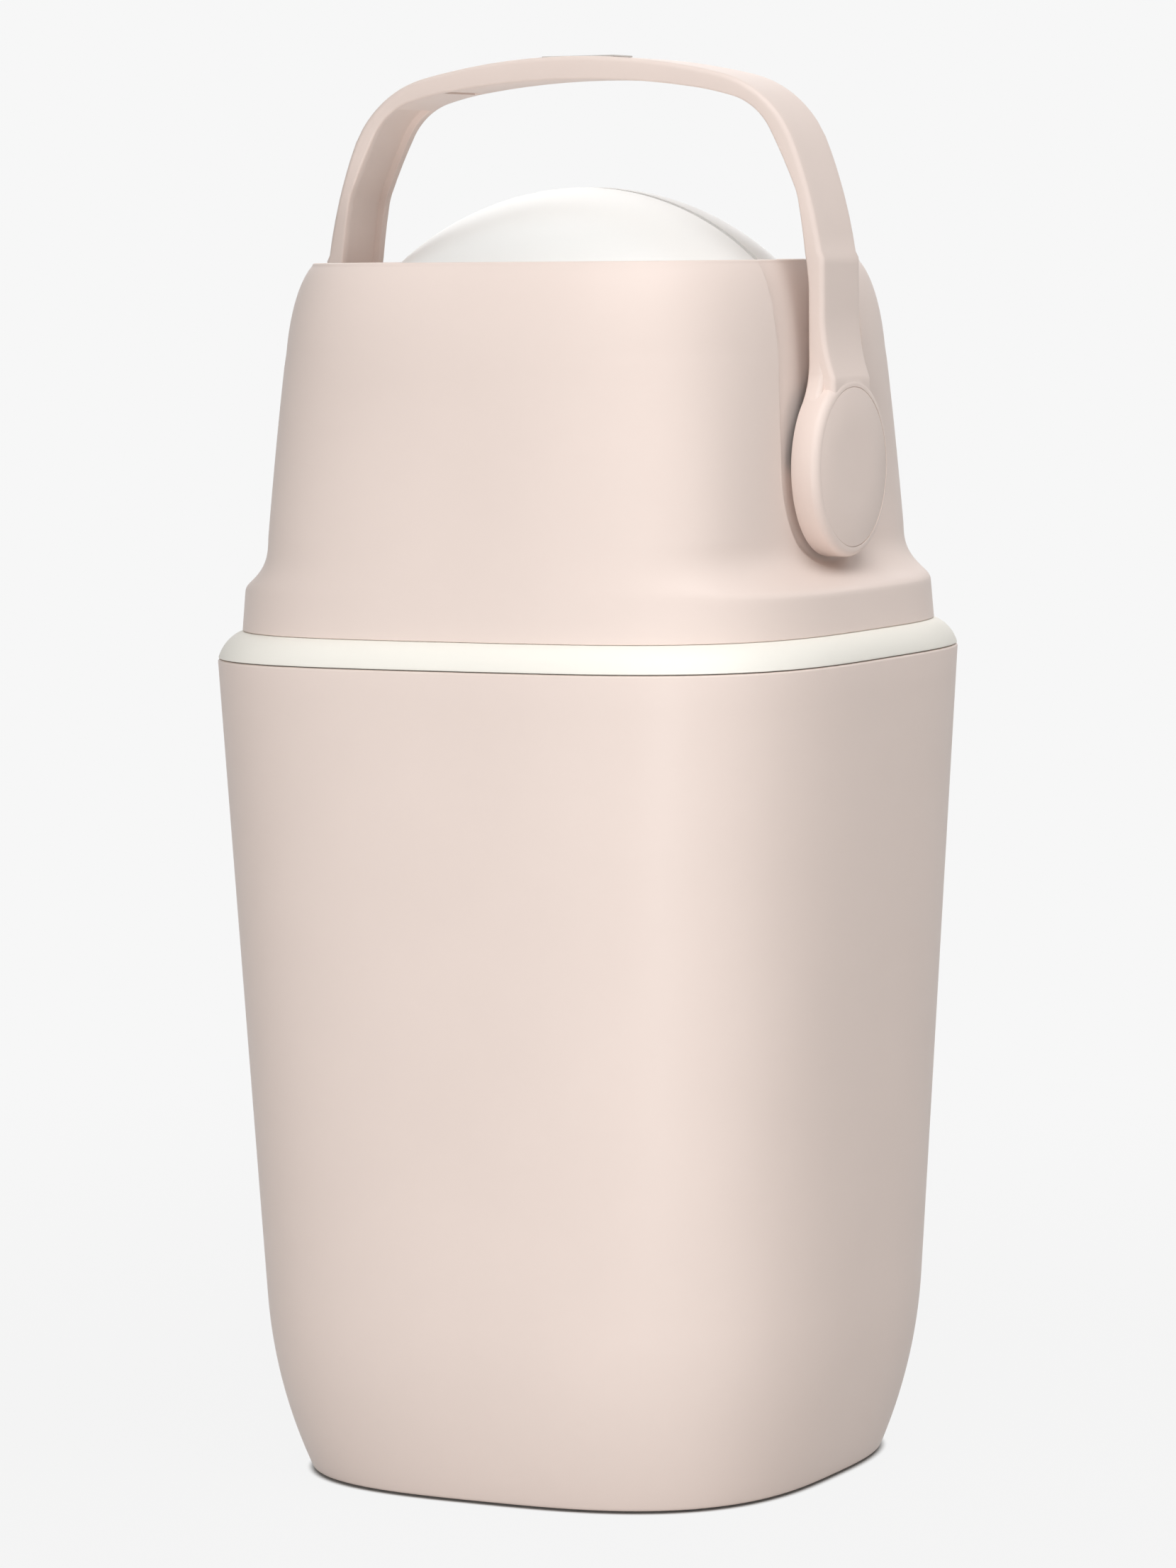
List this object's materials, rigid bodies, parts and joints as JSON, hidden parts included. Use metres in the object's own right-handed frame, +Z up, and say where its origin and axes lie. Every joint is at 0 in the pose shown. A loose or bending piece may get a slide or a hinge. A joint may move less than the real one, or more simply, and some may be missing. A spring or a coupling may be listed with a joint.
{
  "type": "nappy bin",
  "caption": "Tall square nappy bin with a lift-off bag ring, a tilting head, and a ball-shaped drum and piston turned by an arched handle.",
  "frame": {"origin": "centre of the base, on the floor under the pads", "axes": "+Z up, -Y to the front that a user stands at, X along the axis of the drum and the handle"},
  "size_m": [0.2898, 0.2899, 0.6237],
  "materials": {
    "blush_plastic": "satin pale blush",
    "warm_white_plastic": "satin warm white",
    "white_plastic": "satin white",
    "rubber": "soft dark grey",
    "steel": "turned",
    "grey_plastic": "satin light grey"
  },
  "bodies": {
    "bucket": {"bucket": "blush_plastic", "feet": "rubber"},
    "bag_ring": {"bag_ring": "warm_white_plastic", "ring_gasket": "rubber", "hinge_pin": "steel"},
    "head": {"head_shell": "blush_plastic", "housing_upper": "white_plastic", "housing_lower": "white_plastic", "housing_screws": "steel", "upper_seal": "rubber", "lower_seal": "rubber", "left_bush": "grey_plastic", "right_bush": "grey_plastic"},
    "drum": {"drum_shell_front": "white_plastic", "drum_shell_rear": "white_plastic", "drum_screws": "steel", "piston_tube": "white_plastic", "left_shaft": "steel", "right_shaft": "steel", "shaft_screws": "steel", "handle_arch": "blush_plastic", "grip_liner": "blush_plastic", "left_hub_cap": "blush_plastic", "right_hub_cap": "blush_plastic", "hub_screws": "steel", "handle_inlay": "grey_plastic"},
    "piston": {"piston_front": "warm_white_plastic", "piston_rear": "warm_white_plastic", "piston_weight": "steel", "piston_seals": "rubber", "piston_bolt": "steel"}
  },
  "joints": [
    {"name": "ring_lift", "type": "slide", "parent": "bucket", "child": "bag_ring", "axis": [0, 0, 1], "range_m": [0, 0.1]},
    {"name": "head_hinge", "type": "hinge", "parent": "bag_ring", "child": "head", "pos_m": [0, 0.141, 0.381], "axis": [-1, 0, 0], "range_deg": [0, 95]},
    {"name": "drum_turn", "type": "hinge", "parent": "head", "child": "drum", "pos_m": [0, 0, 0.4443], "axis": [1, 0, 0], "range_deg": [-90, 90]},
    {"name": "piston_slide", "type": "slide", "parent": "drum", "child": "piston", "axis": [0, 1, 0], "range_m": [0, 0.134]}
  ]
}
